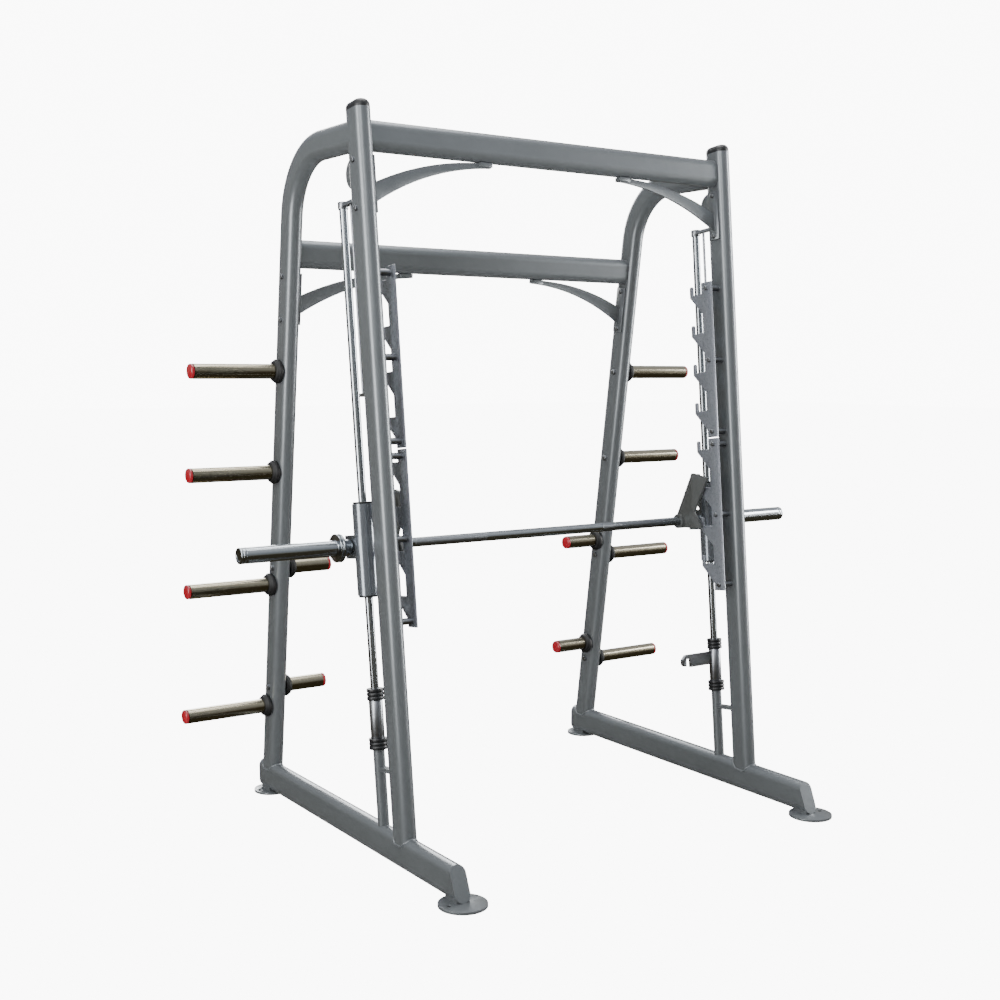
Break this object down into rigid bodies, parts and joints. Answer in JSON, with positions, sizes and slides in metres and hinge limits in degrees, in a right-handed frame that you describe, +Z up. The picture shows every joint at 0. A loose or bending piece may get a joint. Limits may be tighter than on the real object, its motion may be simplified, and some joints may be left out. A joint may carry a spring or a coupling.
{
  "type": "smith machine",
  "caption": "Smith machine: leaning side frames of flat-oval tube joined by crossbeams, a guided barbell with latching hook arms, bar stoppers and plate storage horns.",
  "frame": {"origin": "centre of the machine's outline on the floor, between the four feet", "axes": "+X along the barbell, +Y to the rear, away from the front uprights, +Z up"},
  "size_m": [2.1616, 1.375, 2.2199],
  "materials": {
    "frame_paint": "metallic silver-grey powder coat",
    "rack_paint": "pale silver powder coat",
    "dark_paint": "dark grey powder coat",
    "chrome": "hard chrome plate",
    "steel": "zinc-plated steel",
    "bronze": "sintered bronze",
    "red_plastic": "glossy red moulded plastic",
    "black_plastic": "black moulded plastic",
    "black_rubber": "black moulded rubber"
  },
  "bodies": {
    "frame": {"floor_beam_left": "frame_paint", "floor_beam_right": "frame_paint", "front_foot_left": "frame_paint", "front_foot_right": "frame_paint", "rear_foot_left": "frame_paint", "rear_foot_right": "frame_paint", "front_upright_left": "frame_paint", "front_upright_right": "frame_paint", "rear_upright_left": "frame_paint", "rear_upright_right": "frame_paint", "guide_rod_left": "chrome", "guide_rod_right": "chrome", "support_tube_left": "frame_paint", "support_tube_right": "frame_paint", "rod_cap_left": "steel", "rod_cap_right": "steel", "rack_upper_left": "rack_paint", "rack_upper_right": "rack_paint", "rack_lower_left": "rack_paint", "rack_lower_right": "rack_paint", "front_arch_left": "frame_paint", "front_arch_right": "frame_paint", "rear_arch_left": "frame_paint", "rear_arch_right": "frame_paint", "front_crossbeam": "frame_paint", "rear_crossbeam": "frame_paint", "nose_plates": "frame_paint", "tail_plates": "frame_paint", "upright_caps": "black_plastic", "gussets": "frame_paint", "rod_straps": "frame_paint", "tie_rods": "steel", "rack_spacers": "steel", "rack_bolts": "steel", "arch_bolts": "steel", "horns": "chrome", "horn_caps": "red_plastic", "horn_collars": "black_rubber", "horn_bolts": "steel"},
    "carriages": {"carriage_left": "frame_paint", "carriage_right": "frame_paint", "linear_bearings": "steel", "bearing_seals": "black_plastic", "bar_bushes": "bronze"},
    "bar": {"hook_arm_left": "dark_paint", "hook_arm_right": "dark_paint", "latch_pins": "steel", "bar_shaft": "chrome"},
    "sleeve_left": {"sleeve_left": "chrome", "sleeve_bushes_left": "bronze", "sleeve_cap_left": "chrome"},
    "sleeve_right": {"sleeve_right": "chrome", "sleeve_bushes_right": "bronze", "sleeve_cap_right": "chrome"},
    "stopper_slider_left": {"stopper_guide_left": "black_plastic"},
    "stopper_slider_right": {"stopper_guide_right": "black_plastic"},
    "stopper_catch_left": {"stopper_catch_left": "steel"},
    "stopper_catch_right": {"stopper_catch_right": "steel"}
  },
  "joints": [
    {"name": "bar_slide", "type": "slide", "parent": "frame", "child": "carriages", "axis": [0, 0.112, 0.9937], "range_m": [-0.27, 0.85]},
    {"name": "bar_turn", "type": "hinge", "parent": "carriages", "child": "bar", "pos_m": [0, -0.04013, 0.94088], "axis": [1, 0, 0], "range_deg": [-45, 21]},
    {"name": "sleeve_spin_left", "type": "hinge", "parent": "bar", "child": "sleeve_left", "pos_m": [-0.9, -0.04013, 0.94088], "axis": [1, 0, 0], "continuous": true},
    {"name": "stopper_slide_left", "type": "slide", "parent": "frame", "child": "stopper_slider_left", "axis": [0, 0.112, 0.9937], "range_m": [0, 0.25]},
    {"name": "stopper_swivel_left", "type": "hinge", "parent": "stopper_slider_left", "child": "stopper_catch_left", "pos_m": [-0.6915, -0.13685, 0.43], "axis": [0, 0.112, 0.9937], "range_deg": [-73, 37]},
    {"name": "sleeve_spin_right", "type": "hinge", "parent": "bar", "child": "sleeve_right", "pos_m": [0.9, -0.04013, 0.94088], "axis": [1, 0, 0], "continuous": true},
    {"name": "stopper_slide_right", "type": "slide", "parent": "frame", "child": "stopper_slider_right", "axis": [0, 0.112, 0.9937], "range_m": [0, 0.25]},
    {"name": "stopper_swivel_right", "type": "hinge", "parent": "stopper_slider_right", "child": "stopper_catch_right", "pos_m": [0.6915, -0.13685, 0.43], "axis": [0, 0.112, 0.9937], "range_deg": [-95, 15]}
  ]
}
